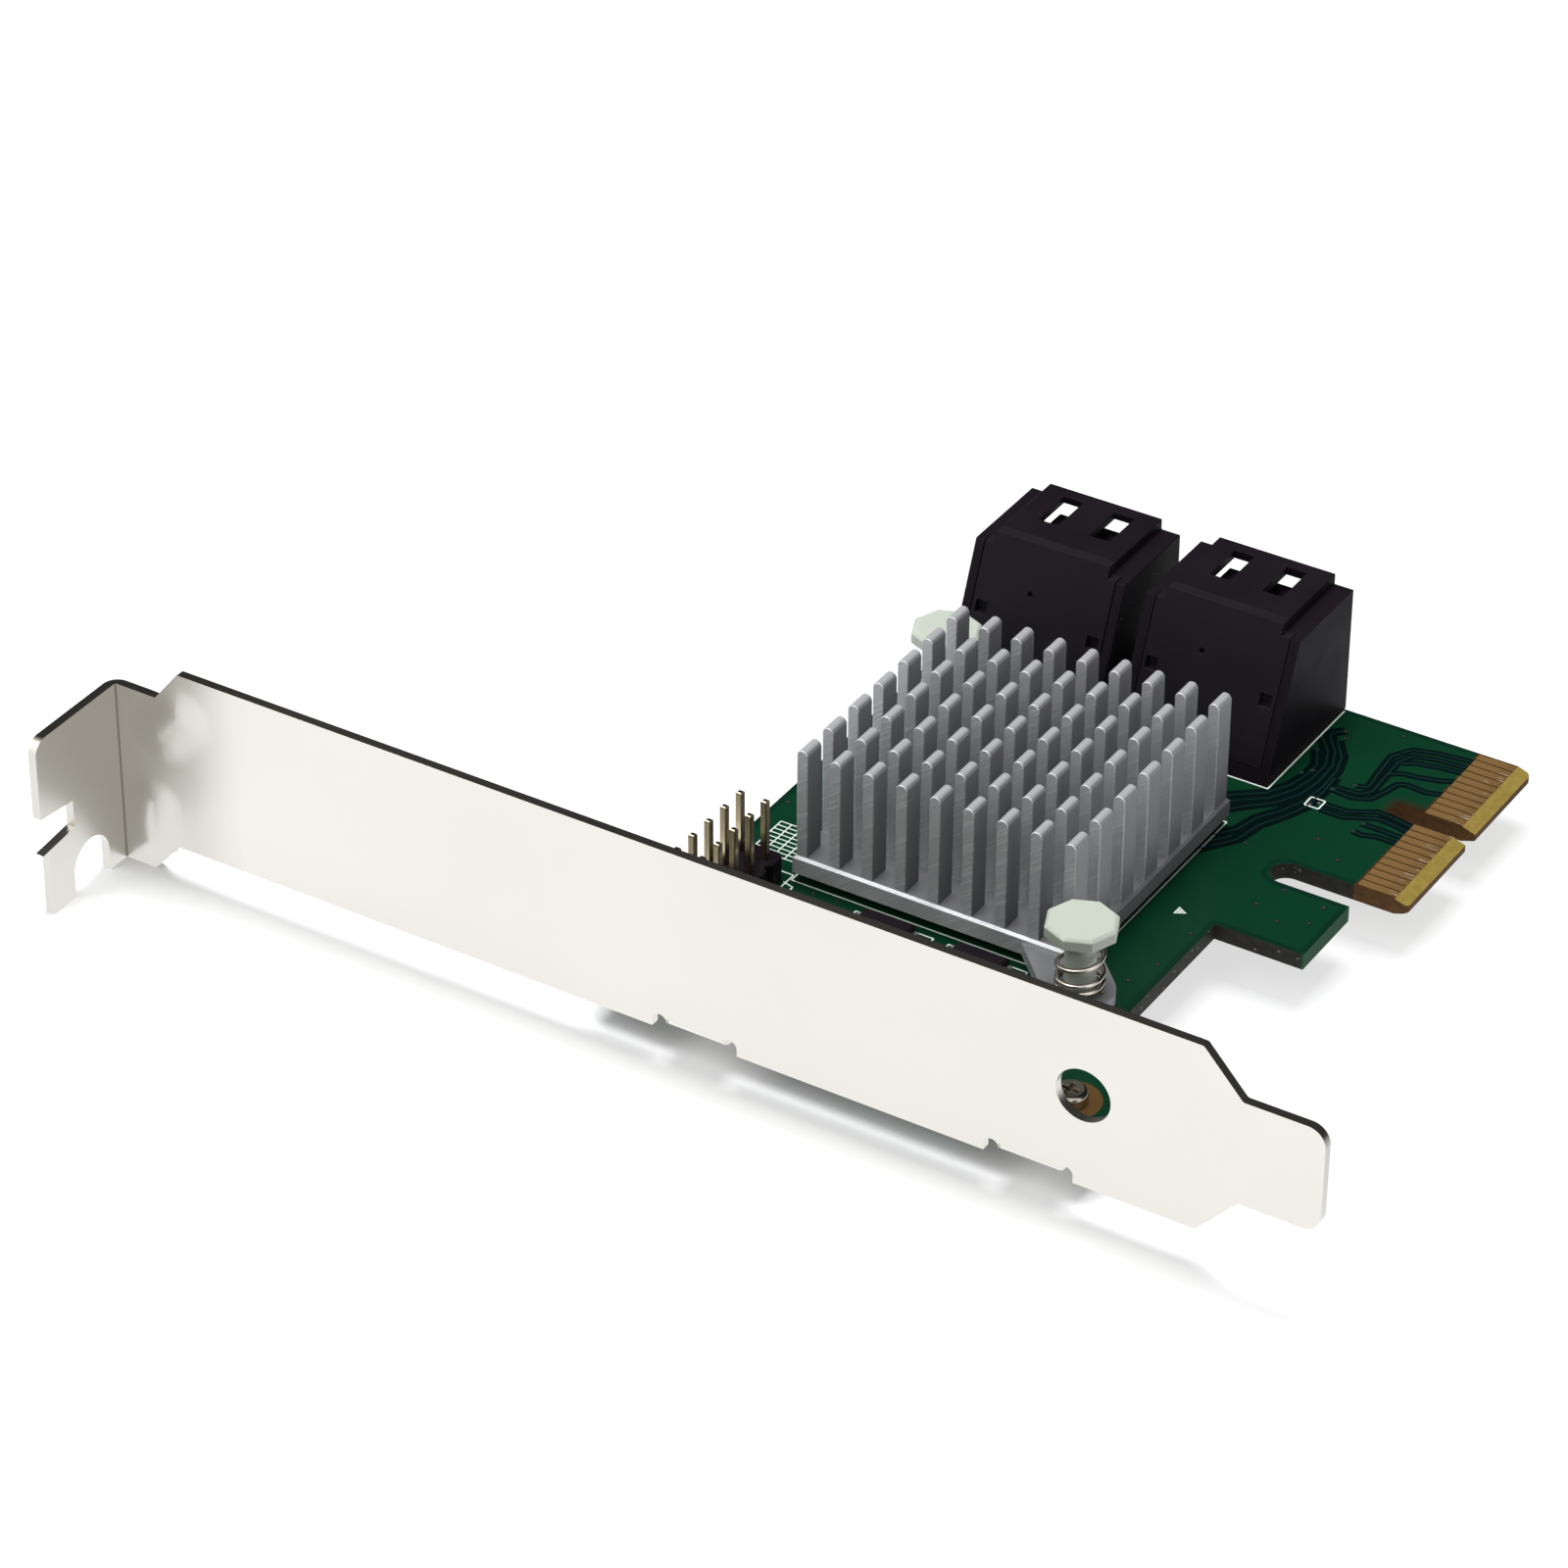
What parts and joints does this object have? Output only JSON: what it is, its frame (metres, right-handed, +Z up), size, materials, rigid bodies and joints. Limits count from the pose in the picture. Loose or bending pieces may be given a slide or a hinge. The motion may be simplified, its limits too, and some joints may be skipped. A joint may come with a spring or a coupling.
{
  "type": "raid controller card",
  "caption": "Full-height expansion card with two stacked drive connectors, a pin-fin heat sink on push pins, a pin header and a steel slot bracket",
  "frame": {"origin": "middle of the footprint, on the floor the card lies on", "axes": "X along the bracket from its screw tab to its tongue, Y from the bracket to the drive ports, Z up from the solder side to the component side"},
  "size_m": [0.12, 0.0828, 0.0216],
  "materials": {
    "bracket_steel": "satin nickel plate",
    "board_laminate": "dark green solder mask over glass laminate",
    "gold_plating": "gold plate",
    "chip_plastic": "matt moulding compound",
    "pad_rubber": "soft thermal pad",
    "sink_aluminium": "anodised grey with saw marks",
    "pin_plastic": "milky nylon",
    "spring_wire": "bright spring wire",
    "screw_steel": "bright nickel plate",
    "connector_plastic": "black moulding",
    "cover_plastic": "black moulding, slightly rougher",
    "contact_metal": "plated contacts",
    "header_metal": "pale gold plate",
    "lead_tin": "matt tin plate"
  },
  "bodies": {
    "root": {"io_bracket": "bracket_steel", "circuit_board": "board_laminate", "edge_contacts_component_side": "gold_plating", "edge_contacts_solder_side": "gold_plating", "controller_chip": "chip_plastic", "thermal_pad": "pad_rubber", "heatsink": "sink_aluminium", "push_pin_front": "pin_plastic", "push_pin_rear": "pin_plastic", "push_pin_spring_front": "spring_wire", "push_pin_spring_rear": "spring_wire", "bracket_screws": "screw_steel", "sata_housing_left": "connector_plastic", "sata_housing_right": "connector_plastic", "sata_back_cover_left": "cover_plastic", "sata_back_cover_right": "cover_plastic", "sata_contacts_left": "contact_metal", "sata_contacts_right": "contact_metal", "header_base": "connector_plastic", "header_pins": "header_metal", "regulator_left": "chip_plastic", "regulator_right": "chip_plastic", "regulator_leads_left": "lead_tin", "regulator_leads_right": "lead_tin"}
  },
  "joints": []
}
